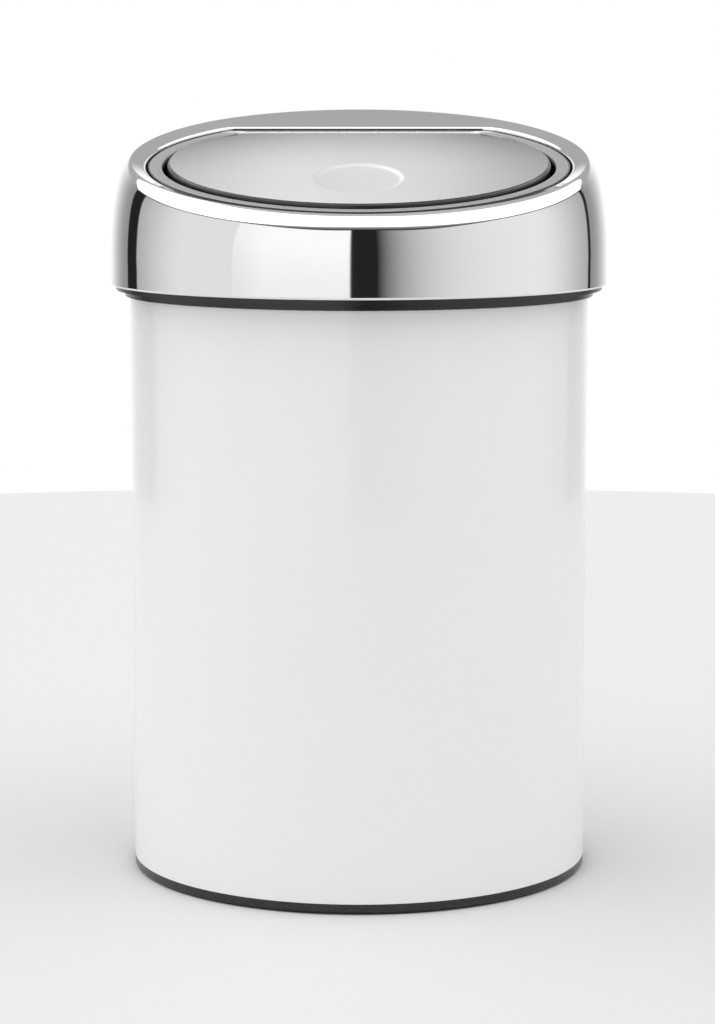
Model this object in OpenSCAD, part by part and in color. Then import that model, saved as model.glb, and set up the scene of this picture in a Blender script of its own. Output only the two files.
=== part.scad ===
// Push top countertop bin. A painted steel body on a black base ring holds a
// lift-out bucket. The lift-off lid is a polished steel cap whose top slopes
// down to the front, with a silver ring around a domed steel flap. Pressing the
// flap near its front edge frees a catch, and the flap opens about a pin at the
// back. The bin stands on z = 0, centred on the z axis, with its front at -y.

/* [Painted body] */
// Outside diameter of the painted steel wall
body_d = 172; // [160:1:184]
// Height of the painted wall that shows
body_h = 213.4; // [190:0.2:240]
// Thickness of the painted steel sheet
body_sheet = 0.7; // [0.5:0.1:0.9]
// Height of the folded edge at the top of the wall
body_hem = 2.5; // [1.5:0.1:4]
// Thickness of the steel floor
floor_sheet = 0.8; // [0.6:0.1:1.2]
// Height of the turned-up edge of the steel floor
floor_edge = 4; // [2:0.5:5.5]
// Radius of the pressed ring in the steel floor
floor_bead_at = 50; // [30:1:60]
// Width of the pressed ring in the steel floor
floor_bead_w = 8; // [4:1:14]
// Depth of the pressed ring in the steel floor
floor_bead_depth = 1.5; // [0.8:0.1:2.5]

/* [Base ring] */
// Height of the black base ring that shows
base_show = 4; // [3:0.1:6]
// Width of the base ring, from its outer edge inwards
base_w = 10; // [8:0.5:14]
// Height of the ledge that carries the steel floor
ledge_h = 8; // [7:0.5:12]
// Height of the upstand inside the painted wall, above the shown ring
upstand_h = 10; // [8:0.5:14]
// Wall thickness of the base ring
base_wall = 1.6; // [1.2:0.1:2]
// Width of the rubber ring under the base
pad_w = 4; // [2:0.5:5]
// How far the rubber ring stands out below the base ring
pad_proud = 0.3; // [0.2:0.1:1]
// Thickness of the rubber ring
pad_t = 1.9; // [1.5:0.1:2.4]

/* [Collar] */
// Height of the lower black step, on the body
collar_h = 2.2; // [1.5:0.1:4]
// How far the lower black step stands out from the painted wall
collar_out = 1.8; // [1:0.1:3]
// Depth of the collar inside the body
collar_drop = 13; // [8:1:20]
// Wall thickness of the collar inside the body
collar_wall = 1.5; // [1:0.1:2]

/* [Lid frame] */
// Height of the upper black step, on the lid
lid_step_h = 2.1; // [1.5:0.1:4]
// How far the upper black step stands out from the painted wall
lid_step_out = 5.2; // [3.5:0.1:6]
// Depth of the lid's skirt inside the collar
skirt_drop = 11.5; // [6:0.5:12]
// Wall thickness of the lid frame
frame_wall = 1.7; // [1.2:0.1:2.2]
// Thickness of the ledge under the silver ring
shelf_t = 2; // [1.5:0.1:3]
// Depth of the black well wall below the shelf's top
well_drop = 12; // [8:1:16]

/* [Polished cap] */
// How far the cap's widest part stands out from the painted wall
cap_out = 7.6; // [6.5:0.1:9]
// Height of the lid's sloping plane above the cap's lower edge, on the bin's axis
cap_h = 45.5; // [42:0.5:56]
// Slope of the lid's top, down to the front, in degrees
lid_tilt = 11.4; // [6:0.1:13]
// Thickness of the polished steel sheet
cap_sheet = 0.7; // [0.5:0.1:0.8]
// Radius of the curled lower edge
cap_curl_r = 1.1; // [1:0.1:1.6]
// How far the shoulder draws in from the wall
shoulder_in = 7.9; // [6:0.1:10]
// Height over which the shoulder draws in
shoulder_drop = 32; // [20:1:40]
// How far the wall draws in below the shoulder
wall_draft = 0.5; // [0.2:0.1:1]
// How far the cap's top edge stands above the sloping plane
crest_rise = 1; // [0.4:0.1:1.4]
// Mean width of the flat rim between the shoulder and the silver ring
rim_w = 5.8; // [5.5:0.1:6.5]
// How far the opening sits in front of the bin's axis, along the slope
ring_shift = 2.5; // [1.5:0.1:2.8]
// Depth of the flat panel behind the flap
panel_depth = 25; // [21:0.2:30]
// Radius of the two corners of the opening
corner_r = 10; // [8:0.5:13]
// Radius of the turned-down edge around the opening
cap_edge_r = 1.4; // [0.8:0.1:1.8]

/* [Silver ring] */
// Width of the silver ring
ring_w = 5.9; // [5.5:0.1:6.6]
// Thickness of the silver ring
ring_t = 3.9; // [3.4:0.1:5]
// Dark gap between the cap and the silver ring
ring_gap = 0.3; // [0.2:0.05:0.5]
// Run of the sloped face behind the flap
strip_run = 2.3; // [1.6:0.1:3]
// Size of the softened inner edge
ring_chamfer = 0.9; // [0.3:0.1:1.2]

/* [Flap] */
// Gap between the silver ring and the flap
flap_gap = 1.9; // [1.6:0.1:2.4]
// Gap between the flap's round back edge and the sloped face
nose_gap = 1.2; // [0.9:0.1:2]
// Half the width of the flap's round back edge, between its notched corners
nose_half = 52; // [50:0.5:53]
// Radius of the flap's round back edge, about the pin
nose_r = 7; // [6.6:0.1:7.6]
// Radius of the flap's dome
dome_r = 430; // [400:5:520]
// Height of the top of the dome above the sloping plane
dome_top = 6.3; // [5.8:0.1:6.8]
// How far the dome leans back, in degrees
dome_lean = 0.7; // [0.4:0.1:1]
// Radius of the curve that draws the dome down at the back
back_curve_r = 360; // [330:5:420]
// Height of the dome over the pin, above the sloping plane
back_rise = 1.4; // [1:0.1:1.8]
// Radius of the flap's rolled edge
edge_r = 1.6; // [1.2:0.1:2.2]
// Thickness of the flap's steel sheet
flap_sheet = 0.6; // [0.4:0.1:0.8]
// Height of the flap's straight side below the rolled edge
flap_rim = 4.6; // [4:0.1:5]
// Diameter of the dimple that is pressed to open the flap
dimple_d = 31; // [20:1:36]
// Depth of the dimple
dimple_depth = 1.3; // [0.8:0.1:1.8]
// Distance of the dimple in front of the flap's centre
dimple_front = 43.5; // [36:0.5:46]
// Wall thickness of the flap's black tray
tray_wall = 1.6; // [1.2:0.1:2]
// Spacing of the ribs inside the tray
rib_pitch = 22; // [16:1:30]

/* [Hinge] */
// Diameter of the hinge pin
pin_d = 3; // [2.6:0.1:3.2]
// Width of each hinge lug on the lid frame
lug_w = 4; // [3:0.5:5]
// Width of each hinge knuckle on the flap
knuckle_w = 4.6; // [3.5:0.1:5.5]
// Free width between the two inner lugs
hinge_middle = 28; // [20:1:34]
// Thickness of the lugs and knuckles around the pin
lug_wall = 1.7; // [1.3:0.1:1.8]
// Distance of the pin's end from the flap's side edge
pin_inset = 8.5; // [8:0.5:10]
// Wire thickness of the two coiled hinge springs
coil_wire = 0.9; // [0.7:0.05:1]
// Turns of each hinge spring
coil_turns = 6; // [3:1:7]

/* [Catch] */
// Distance of the catch from the flap's front edge
catch_in = 9; // [8.6:0.1:10]
// Width of the catch housing
housing_w = 14.8; // [13.8:0.2:15.6]
// Depth of the catch housing, front to back
housing_depth = 19.6; // [18.8:0.2:23]
// Wall thickness of the catch housing
housing_wall = 1.7; // [1.2:0.1:1.9]
// How far the flap's catch foot travels when pressed
press_travel = 3.6; // [2.5:0.1:3.8]
// Wire thickness of the catch spring
catch_wire = 0.7; // [0.5:0.05:0.8]
// Turns of the catch spring
catch_turns = 4; // [3:1:5]

/* [Bucket] */
// Wall thickness of the bucket
bucket_wall = 1.5; // [1.2:0.1:2]
// How much narrower the bucket is at its foot, on the radius
bucket_taper = 7; // [4:0.5:10]
// Radius of the bucket's lower corner
bucket_corner = 5; // [3:0.5:8]
// Radius of the bead around the bucket's rim
bucket_bead = 1.2; // [0.9:0.1:1.4]
// Gap between the bucket's rim and the lid's skirt
bucket_top_gap = 6.8; // [3:0.2:12]
// Distance of the handle's pivot below the bucket's rim
pivot_drop = 9; // [7:0.5:14]
// Diameter of the handle's wire
wire_d = 2.8; // [2.2:0.1:3]
// Diameter of the grip on the handle
grip_d = 5.6; // [5:0.1:5.8]
// Angle that the grip covers along the handle
grip_arc = 44; // [30:2:60]

/* [Fits] */
// Gap between faces that rest on each other
seat = 0.1; // [0.05:0.01:0.15]
// Radial clearance of a pin that turns in its hole
pin_fit = 0.05; // [0.02:0.01:0.08]
// Clearance of a part that slides beside another
slide_fit = 0.3; // [0.2:0.05:0.4]
// Diameter of the small screws
screw_d = 2.4; // [2:0.1:2.6]
// Diameter of the screws' heads
screw_head_d = 3.8; // [3.4:0.1:4]

/* [Hidden] */

$fn = 96;
arc_fn = 720;      // facets of a large circle that only lends a short arc
small_fn = 32;     // facets of screws, pins and beads
reach = 3 * body_d; // longer than anything here, for cutting blocks

paint_white = [0.93, 0.93, 0.93];
polished = [0.78, 0.78, 0.79];
satin = [0.66, 0.66, 0.67];
silver = [0.55, 0.55, 0.56];
black = [0.13, 0.13, 0.14];
rubber = [0.08, 0.08, 0.08];
spring_steel = [0.5, 0.5, 0.52];
bucket_grey = [0.25, 0.25, 0.27];

// Body and base, from the table up
body_r = body_d / 2;
shell_in = body_r - body_sheet;
shell_z1 = base_show + body_h;
base_in = body_r - base_w;
ring_upstand_r = shell_in - seat;
plate_r = ring_upstand_r - base_wall - seat;
floor_z = ledge_h + floor_sheet;
pad_mid = base_in + base_w / 2 - 1;
foot_bevel = 1;
ledge_w = 4;       // how far the ledge runs under the steel floor's edge
groove_top_t = 1;  // thickness of the base ring above the rubber ring

// Collar on the body and step on the lid
collar_r = body_r + collar_out;
collar_z1 = shell_z1 + collar_h;
collar_top_t = 0.8;
collar_leg_r = shell_in - body_sheet - seat;
collar_bore = collar_leg_r - collar_wall;
lid_z0 = collar_z1 + seat;
cap_z0 = lid_z0 + lid_step_h;
skirt_r = collar_bore - slide_fit;
skirt_z0 = lid_z0 - skirt_drop;

// Polished cap
cap_r = body_r + cap_out;
crest_r = cap_r - wall_draft - shoulder_in;
plane_z = cap_z0 + cap_h;
plane_slope = tan(lid_tilt);
curl_z = cap_z0 + cap_curl_r;
seam_r = crest_r - rim_w;
seam_back = crest_r - panel_depth;

// Silver ring, in the lid's sloping plane, from the opening's centre
ring_r = seam_r - ring_gap;
ring_back = seam_back - ring_gap;
ring_in = seam_r - ring_w;
strip_foot = ring_back - strip_run;
strip_top = ring_back - 0.4;

// Black frame below the ring
tube_r = seam_r + ring_shift + 1;
shelf_r = tube_r + ring_shift + 1;
well_r = ring_in + 0.2;
well_back = strip_foot - 0.2;
well_t = 1.4;
screw_out = 3.9;   // distance of the ring's screws outside its inner edge
screw_ring_r = ring_in + screw_out;
screw_angles = [30, 150, 210, 330];

// Flap, in the plane that leans back with its dome
flap_r = ring_in - flap_gap;
hinge_v = strip_foot - nose_gap - nose_r;
dome_z = dome_top - dome_r;
back_v = -15;      // where the back curve is highest
back_run = hinge_v - back_v;
back_z = back_rise - sqrt(pow(back_curve_r, 2) - pow(back_run, 2));
hinge_w = back_z + sqrt(pow(back_curve_r - nose_r, 2) - pow(back_run, 2));
edge_cr = flap_r - edge_r;
edge_cz = dome_z + sqrt(pow(dome_r - edge_r, 2) - pow(edge_cr, 2));
flap_low = edge_cz - flap_rim;
tray_back = hinge_v - nose_r - 2;
tray_inset = flap_sheet + seat;
flap_corner = 14;
notch_v = hinge_v - nose_r - 0.6; // the notched corners start here, clear of the ring
relief_r = nose_r + nose_gap;
relief_half = nose_half + nose_gap;
relief_from = 42.5; // the frame is relieved outside its hinge lugs
rib_t = 1.2;
tray_shoulder = 5;

// Hinge pieces, measured along the pin
hinge_half = sqrt(pow(flap_r, 2) - pow(hinge_v, 2)) - pin_inset;
clip_t = 0.7;
lug_out_x = hinge_half - clip_t - 0.8 - lug_w / 2;
lug_in_x = (hinge_middle + lug_w) / 2;
hinge_play = 0.4;
knuckle_step = (lug_w + knuckle_w) / 2 + hinge_play;
knuckle_in_x = lug_in_x + knuckle_step;
knuckle_out_x = lug_out_x - knuckle_step;
lug_r = pin_d / 2 + lug_wall;
neck_half = 2.2;
beam_top = -nose_r - 0.8;
beam_low = beam_top - 3;
beam_front = -7.5;
beam_deep = 4;
well_end = hinge_v + beam_front - 3.5;
neck_end = [-5.5, beam_top - 1];
riser_v = strip_foot + 1.3 - hinge_v;
riser_w = 3.5;
riser_top = (strip_foot + 1.3) * sin(dome_lean) - ring_t - shelf_t / 2 - hinge_w;
web_top = 1.2;

// Catch, in the lid's sloping plane
catch_v = -(flap_r - catch_in);
catch_back = 6.6;  // distance of the housing's back wall behind the foot
housing_v1 = catch_v + catch_back;
housing_v0 = housing_v1 - housing_depth;
housing_top = -11.5;
ear_t = 2;
ear_h = 10;
ear_drop = 1.5;    // the ears' top edge below the housing's
ear_reach = 3.6;   // distance of the ears' screws beside the housing
ear_mid = housing_top - ear_h / 2 - ear_drop;
ear_screw_x = housing_w / 2 + ear_reach;
ear_screw_len = 7;
ear_w = 2 * (ear_screw_x + 3);
ear_pad = 3;       // how far the frame's pad runs past the housing's ears
ear_clear = 0.5;   // room beside the ears in the frame's pad
top_clear = 5;     // room above the housing in the frame
slider_w = housing_w - 2 * housing_wall - 2 * slide_fit;
slider_v0 = housing_v0 + ear_t + slide_fit;
slider_swing = 0.6; // extra room, as the slider follows the foot's slight arc
slider_v1 = housing_v1 - housing_wall - slide_fit - slider_swing;
claw_h = 5;
slider_h = 5.5;
slider_seat = housing_top - claw_h + 0.5;
slider_low = slider_seat - slider_h;
coil_solid = (catch_turns + 1) * catch_wire;
housing_floor = slider_low - press_travel - coil_solid;
housing_low = housing_floor - 2;
housing_h = housing_top - housing_low;
claw_t = 2;
claw_len = 8;
head_h = 2.5;
head_len = 4;
head_w = slider_w - 2 * claw_t - 1.2;
stem_w = 2.8;
stem_len = 3.2;
plate_t = 1.5;
plate_len = 12;
flap_screw_x = housing_w / 2 + 2.6;
plate_w = 2 * (flap_screw_x + 2);
boss_h = 4;
boss_r = 3;
catch_coil_r = 2.8;
catch_coil_v = (slider_v0 + slider_v1) / 2;

// Bucket and handle
handle_r = collar_bore - 0.6 - grip_d / 2;
bucket_rim_r = handle_r - grip_d / 2 - 0.9;
bucket_r = bucket_rim_r - bucket_bead;
bucket_z0 = floor_z + seat;
bucket_z1 = skirt_z0 - bucket_top_gap;
pivot_z = bucket_z1 - pivot_drop;
boss_face = handle_r - wire_d / 2 - 0.8;
ear_r = 4.5;
wire_inside = 0.8;
bend_over = 0.5;   // the bow runs this far past the half circle, into its corners
bend_swell = 0.3;  // how much thicker the wire is where it is bent

// Screws
head_t = 1.3;

echo(str("hinge spring gap between turns ", coil_gap(coil_pitch(), coil_wire)));
echo(str("catch spring gap between turns ", coil_gap(catch_pitch(), catch_wire)));

// ---------------------------------------------------------------- helpers

// Puts children on the lid's sloping plane, with y up the slope from the opening's centre
module on_lid() {
    translate([0, 0, plane_z]) rotate([lid_tilt, 0, 0]) translate([0, -ring_shift, 0]) children();
}

// Puts children on the flap's own plane, which leans back from the lid's plane
module on_flap() {
    on_lid() rotate([-dome_lean, 0, 0]) children();
}

// A circle cut by a straight line at the back, with round corners
module d_shape(r, back, corner) {
    cx = corner_x(r, back, corner);
    cy = back - corner;
    intersection() {
        circle(r = r);
        translate([-r, -r]) square([2 * r, r + cy * r / (r - corner)]);
    }
    translate([-cx, 0]) square([2 * cx, back]);
    for (side = [-1, 1]) translate([side * cx, cy]) circle(r = corner);
}

function corner_x(r, back, corner) = sqrt(pow(r - corner, 2) - pow(back - corner, 2));

// Distance from the centre to the edge of a d_shape, in direction a
function d_radius(a, r, back, corner) =
    let (
        cx = corner_x(r, back, corner),
        cy = back - corner,
        m = abs(cos(a)) * cx + sin(a) * cy
    )
    a > 180 || a < atan2(cy, cx) || a > 180 - atan2(cy, cx) ? r :
    a < atan2(back, cx) || a > 180 - atan2(back, cx) ?
        m + sqrt(m * m - cx * cx - cy * cy + corner * corner) :
    back / sin(a);

// A round bar along x, centred on x = 0
module bar_x(r, len, fn = small_fn) {
    rotate([0, 90, 0]) cylinder(r = r, h = len, center = true, $fn = fn);
}

// A small screw on z, its head below z = 0 and its shank above
module screw(shank) {
    translate([0, 0, -head_t]) cylinder(d = screw_head_d, h = head_t, $fn = small_fn);
    translate([0, 0, -seat]) cylinder(d = screw_d, h = shank + seat, $fn = small_fn);
}

// A tube of six sides along a list of points, each with its own cross direction
module wire(points, sides, r) {
    faces_of = 6;
    last = len(points) - 1;
    function ring(i) =
        let (
            along = points[min(i + 1, last)] - points[max(i - 1, 0)],
            t = along / norm(along),
            s0 = sides[i] - (sides[i] * t) * t,
            s = s0 / norm(s0),
            n = cross(t, s)
        )
        [for (k = [0 : faces_of - 1])
            points[i] + r * (cos(60 * k) * s + sin(60 * k) * n)];
    rings = [for (i = [0 : last]) each ring(i)];
    polyhedron(
        points = rings,
        faces = concat(
            [[for (k = [faces_of - 1 : -1 : 0]) k]],
            [for (i = [0 : last - 1]) for (k = [0 : faces_of - 1]) for (half = [0, 1])
                let (
                    a = i * faces_of + k,
                    b = i * faces_of + (k + 1) % faces_of
                )
                half == 0 ? [a, b, b + faces_of] : [a, b + faces_of, a + faces_of]],
            [[for (k = [0 : faces_of - 1]) last * faces_of + k]]
        )
    );
}

function coil_gap(pitch, wire_t) = pitch - wire_t;

// ---------------------------------------------------------------- body

module body_shell() {
    color(paint_white) rotate_extrude() {
        translate([shell_in, base_show]) square([body_sheet, body_h + collar_h - collar_top_t - seat]);
        translate([shell_in - body_sheet, shell_z1 + collar_h - collar_top_t - seat - body_hem])
            square([2 * body_sheet, body_hem]);
    }
}

module base_plate() {
    color(spring_steel) rotate_extrude() {
        difference() {
            translate([0, ledge_h]) square([plate_r, floor_sheet]);
            translate([floor_bead_at - floor_bead_w / 2, ledge_h - 1]) square([floor_bead_w, 3]);
        }
        translate([plate_r - floor_sheet, ledge_h]) square([floor_sheet, floor_edge]);
        polygon([
            [floor_bead_at - floor_bead_w / 2, floor_z],
            [floor_bead_at - floor_bead_w / 2, ledge_h],
            [floor_bead_at - floor_bead_w / 4, ledge_h - floor_bead_depth],
            [floor_bead_at + floor_bead_w / 4, ledge_h - floor_bead_depth],
            [floor_bead_at + floor_bead_w / 2, ledge_h],
            [floor_bead_at + floor_bead_w / 2, floor_z],
            [floor_bead_at + floor_bead_w / 4, floor_z - floor_bead_depth],
            [floor_bead_at - floor_bead_w / 4, floor_z - floor_bead_depth]
        ]);
    }
}

module base_ring() {
    color(black) rotate_extrude() difference() {
        polygon([
            [base_in, pad_proud],
            [body_r - foot_bevel, pad_proud],
            [body_r, pad_proud + foot_bevel],
            [body_r, base_show],
            [ring_upstand_r, base_show],
            [ring_upstand_r, base_show + upstand_h],
            [ring_upstand_r - base_wall, base_show + upstand_h],
            [ring_upstand_r - base_wall, ledge_h],
            [plate_r - ledge_w - base_wall, ledge_h],
            [plate_r - ledge_w - base_wall, pad_proud + pad_t + groove_top_t],
            [base_in, pad_proud + pad_t + groove_top_t]
        ]);
        translate([pad_mid - pad_w / 2, 0]) square([pad_w, pad_t]);
    }
}

module non_slip_ring() {
    color(rubber) rotate_extrude()
        translate([pad_mid - pad_w / 2 + seat / 2, 0]) square([pad_w - seat, pad_t]);
}

module collar_ring() {
    color(black) rotate_extrude() {
        translate([body_r + seat, shell_z1]) square([collar_out - seat, collar_h]);
        translate([collar_bore, collar_z1 - collar_top_t]) square([collar_r - collar_bore, collar_top_t]);
        translate([collar_bore, collar_z1 - collar_drop - collar_h])
            square([collar_wall, collar_drop + collar_h]);
    }
}

// ---------------------------------------------------------------- cap

// Directions of the cap's points: the two corners, the straight back, the round front
corner_steps = 3;
back_steps = 20;
front_steps = 74;
corner_a0 = atan2(seam_back - corner_r, corner_x(seam_r, seam_back, corner_r));
corner_a1 = atan2(seam_back, corner_x(seam_r, seam_back, corner_r));
turns = concat(
    [for (i = [0 : corner_steps - 1]) corner_a0 + (corner_a1 - corner_a0) * i / corner_steps],
    [for (i = [0 : back_steps - 1]) corner_a1 + (180 - 2 * corner_a1) * i / back_steps],
    [for (i = [0 : corner_steps - 1])
        180 - corner_a1 + (corner_a1 - corner_a0) * i / corner_steps],
    [for (i = [0 : front_steps - 1])
        180 - corner_a0 + (180 + 2 * corner_a0) * i / front_steps]
);

// Height of the cap's top edge in direction a
function crest_z(a) = plane_z + crest_rise + plane_slope * crest_r * sin(a);

// Radius of the shoulder at a drop below the top edge
function shoulder_r(drop) =
    crest_r + shoulder_in * sqrt(1 - pow(1 - min(drop / shoulder_drop, 1), 2));

// A point of the cap's wall: t runs from the curl, 0, to the top edge, 1
function wall_point(a, t, inset) =
    let (
        top = crest_z(a),
        drop = (1 - t) * (top - curl_z),
        r = shoulder_r(drop) + (cap_r - shoulder_r(top - curl_z)) * pow(1 - t, 2)
    )
    [(r - inset) * cos(a), (r - inset) * sin(a), curl_z + t * (top - curl_z) - inset * pow(t, 4)];

function curl_point(a, turn, r) =
    let (rr = cap_r - cap_curl_r + r * cos(turn))
    [rr * cos(a), rr * sin(a), curl_z + r * sin(turn)];

// A point of the opening's edge, drop below the sloping plane
function seam_point(a, grow, drop) =
    let (
        r = d_radius(a, seam_r + grow, seam_back + grow, corner_r + grow),
        v = r * sin(a) - ring_shift
    )
    [
        r * cos(a),
        v * cos(lid_tilt) + drop * sin(lid_tilt),
        plane_z + v * sin(lid_tilt) - drop * cos(lid_tilt)
    ];

function mix(p, q, t) = p + (q - p) * t;

// A point of the flat rim: t runs from the top edge, 0, to the turned-down edge, 1
function rim_point(a, t, inset) =
    mix(wall_point(a, 1, inset), seam_point(a, cap_edge_r, inset), t);

// A point of the turned-down edge: turn runs from 0, flat, to 90, upright
function edge_point(a, turn, inset) =
    let (r = cap_edge_r - inset)
    seam_point(a, cap_edge_r - r * sin(turn), cap_edge_r - r * cos(turn));

wall_steps = [0, 0.22, 0.42, 0.6, 0.75, 0.87, 0.94, 0.98, 0.995];
rim_steps = [0, 0.15, 0.55];

module lid_cap() {
    rings = concat(
        [for (turn = [-130, -90, -50, -20]) [for (a = turns) curl_point(a, turn, cap_curl_r)]],
        [for (t = wall_steps) [for (a = turns) wall_point(a, t, 0)]],
        [for (t = rim_steps) [for (a = turns) rim_point(a, t, 0)]],
        [for (turn = [0, 30, 60, 90]) [for (a = turns) edge_point(a, turn, 0)]],
        [[for (a = turns) seam_point(a, 0, ring_t - seat)]],
        [[for (a = turns) seam_point(a, cap_sheet, ring_t - seat)]],
        [for (turn = [90, 45, 0])
            [for (a = turns) edge_point(a, turn, min(cap_sheet, cap_edge_r - 0.1))]],
        [for (i = [len(rim_steps) - 1 : -1 : 1])
            [for (a = turns) rim_point(a, rim_steps[i], cap_sheet)]],
        [for (i = [len(wall_steps) - 1 : -1 : 0])
            [for (a = turns) wall_point(a, wall_steps[i], cap_sheet)]],
        [for (turn = [-50, -90, -130])
            [for (a = turns) curl_point(a, turn, cap_curl_r - cap_sheet)]]
    );
    n = len(turns);
    rows = len(rings);
    color(polished) polyhedron(
        points = [for (ring = rings) each ring],
        faces = [for (j = [0 : rows - 1]) for (i = [0 : n - 1]) for (half = [0, 1])
            let (
                a = j * n + i,
                b = j * n + (i + 1) % n,
                c = ((j + 1) % rows) * n + (i + 1) % n,
                d = ((j + 1) % rows) * n + i
            )
            half == 0 ? [a, c, b] : [a, d, c]],
        convexity = 6
    );
}

// ---------------------------------------------------------------- silver ring

module ring_opening(r0, r1, low, high) {
    intersection() {
        translate([0, 0, low]) cylinder(r1 = r0, r2 = r1, h = high - low);
        rotate([90, 0, 90]) translate([0, 0, -reach / 2]) linear_extrude(reach) polygon([
            [-reach, -ring_t - 1],
            [strip_foot - (strip_top - strip_foot) / ring_t, -ring_t - 1],
            [strip_top + (strip_top - strip_foot) / ring_t, 1],
            [-reach, 1]
        ]);
    }
}

module lid_bezel() {
    color(silver) on_lid() difference() {
        translate([0, 0, -ring_t]) linear_extrude(ring_t)
            d_shape(ring_r, ring_back, corner_r - ring_gap);
        ring_opening(ring_in, ring_in, -ring_t - 1, 1);
        ring_opening(ring_in, ring_in + ring_chamfer * 2, -ring_chamfer, ring_chamfer);
        rotate([-dome_lean, 0, 0]) across(0, 2 * relief_half) circle(r = relief_r);
        for (a = screw_angles) rotate([0, 0, a])
            translate([screw_ring_r, 0, -ring_t - 1])
                cylinder(d = screw_d, h = ring_t - 0.4, $fn = small_fn);
    }
}

module frame_screws() {
    color(spring_steel) on_lid() for (a = screw_angles) rotate([0, 0, a])
        translate([screw_ring_r, 0, -ring_t - shelf_t]) screw(ring_t + shelf_t - 1.7);
}

// ---------------------------------------------------------------- lid frame

// Outline of a hinge lug, seen along the pin, with the pin at [0, 0]
module lug_outline() {
    along = neck_end / norm(neck_end);
    side = [-along[1], along[0]] * neck_half;
    circle(r = lug_r, $fn = small_fn);
    polygon([side, neck_end + side, neck_end - side, -side]);
    polygon([
        [beam_front, beam_low],
        [riser_v + riser_w, beam_low],
        [riser_v + riser_w, riser_top],
        [riser_v, riser_top],
        [riser_v, beam_top],
        [beam_front, beam_top]
    ]);
}

// A slab of the given width centred at x, from an outline in the plane of y and z
module across(x, width) {
    translate([x - width / 2, hinge_v, hinge_w]) rotate([90, 0, 90])
        linear_extrude(width) children();
}

module lid_frame() {
    color(black) difference() {
        union() {
            rotate_extrude() {
                translate([skirt_r - frame_wall, lid_z0])
                    square([body_r + lid_step_out - skirt_r + frame_wall, lid_step_h]);
                translate([skirt_r - frame_wall, skirt_z0]) square([frame_wall, skirt_drop + 1]);
            }
            difference() {
                translate([0, 0, lid_z0]) cylinder(r = tube_r, h = reach / 4);
                translate([0, 0, lid_z0 - 1]) cylinder(r = tube_r - frame_wall, h = reach / 2);
                on_lid() translate([-reach / 2, -reach / 2, -ring_t]) cube(reach);
            }
            on_lid() translate([0, 0, -ring_t - shelf_t]) linear_extrude(shelf_t) difference() {
                circle(r = shelf_r);
                d_shape(well_r, well_back, corner_r);
            }
            on_lid() intersection() {
                translate([0, 0, -ring_t - well_drop]) linear_extrude(well_drop) difference() {
                    circle(r = well_r + well_t);
                    circle(r = well_r);
                }
                translate([-reach / 2, well_end - reach, -reach / 2]) cube(reach);
            }
            on_flap() {
                for (x = [-lug_out_x, -lug_in_x, lug_in_x, lug_out_x])
                    across(x, lug_w) lug_outline();
                for (s = [-1, 1]) across(s * (lug_in_x + lug_out_x) / 2, lug_out_x - lug_in_x)
                    polygon([
                        [beam_front, beam_low],
                        [beam_front + beam_deep, beam_low],
                        [beam_front + beam_deep, beam_top],
                        [beam_front, beam_top]
                    ]);
            }
            intersection() {
                on_lid() translate([-ear_w / 2, housing_v0 - seat - reach, ear_mid - ear_h / 2 - ear_pad])
                    cube([ear_w, reach, ear_h + 2 * ear_pad]);
                cylinder(r = tube_r - 0.2, h = reach);
            }
        }
        on_flap() {
            translate([0, hinge_v, hinge_w]) bar_x(pin_d / 2 + pin_fit, reach / 2, 48);
            for (s = [-1, 1]) across(s * (relief_from + relief_half) / 2, relief_half - relief_from)
                circle(r = relief_r);
        }
        on_lid() {
            translate([-ear_w / 2 - ear_clear, housing_v0 - seat, housing_low - 1])
                cube([ear_w + 2 * ear_clear, housing_depth, housing_h + top_clear]);
            for (a = screw_angles) rotate([0, 0, a])
                translate([screw_ring_r, 0, -ring_t - shelf_t - 1])
                    cylinder(d = screw_d + 0.6, h = shelf_t + 2, $fn = small_fn);
            for (x = [-ear_screw_x, ear_screw_x]) translate([x, housing_v0 + 1, ear_mid])
                rotate([90, 0, 0]) cylinder(d = screw_d, h = ear_screw_len, $fn = small_fn);
        }
    }
}

// ---------------------------------------------------------------- catch

module catch_housing() {
    color(black) on_lid() difference() {
        union() {
            translate([-housing_w / 2, housing_v0, housing_low])
                cube([housing_w, housing_depth, housing_h]);
            translate([-ear_w / 2, housing_v0, ear_mid - ear_h / 2]) cube([ear_w, ear_t, ear_h]);
        }
        translate([housing_wall - housing_w / 2, housing_v0 + ear_t, housing_floor])
            cube([
                housing_w - 2 * housing_wall,
                housing_depth - ear_t - housing_wall,
                housing_h
            ]);
        for (x = [-ear_screw_x, ear_screw_x]) translate([x, housing_v0 + ear_t + 1, ear_mid])
            rotate([90, 0, 0]) cylinder(d = screw_d + 0.4, h = ear_t + 2, $fn = small_fn);
    }
}

module catch_screws() {
    color(spring_steel) on_lid() for (x = [-ear_screw_x, ear_screw_x])
        translate([x, housing_v0 + ear_t, ear_mid]) rotate([90, 0, 0]) screw(ear_screw_len);
}

module catch_slider() {
    claw_v = catch_v - claw_len / 2;
    color(silver) on_lid() {
        translate([-slider_w / 2, slider_v0, slider_low])
            cube([slider_w, slider_v1 - slider_v0, slider_seat - slider_low]);
        for (x = [-slider_w / 2, slider_w / 2 - claw_t]) translate([x, claw_v, slider_seat - 1])
            cube([claw_t, claw_len, claw_h]);
    }
}

function catch_pitch() = (slider_low - housing_floor - catch_wire - 2 * seat) / catch_turns;

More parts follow.
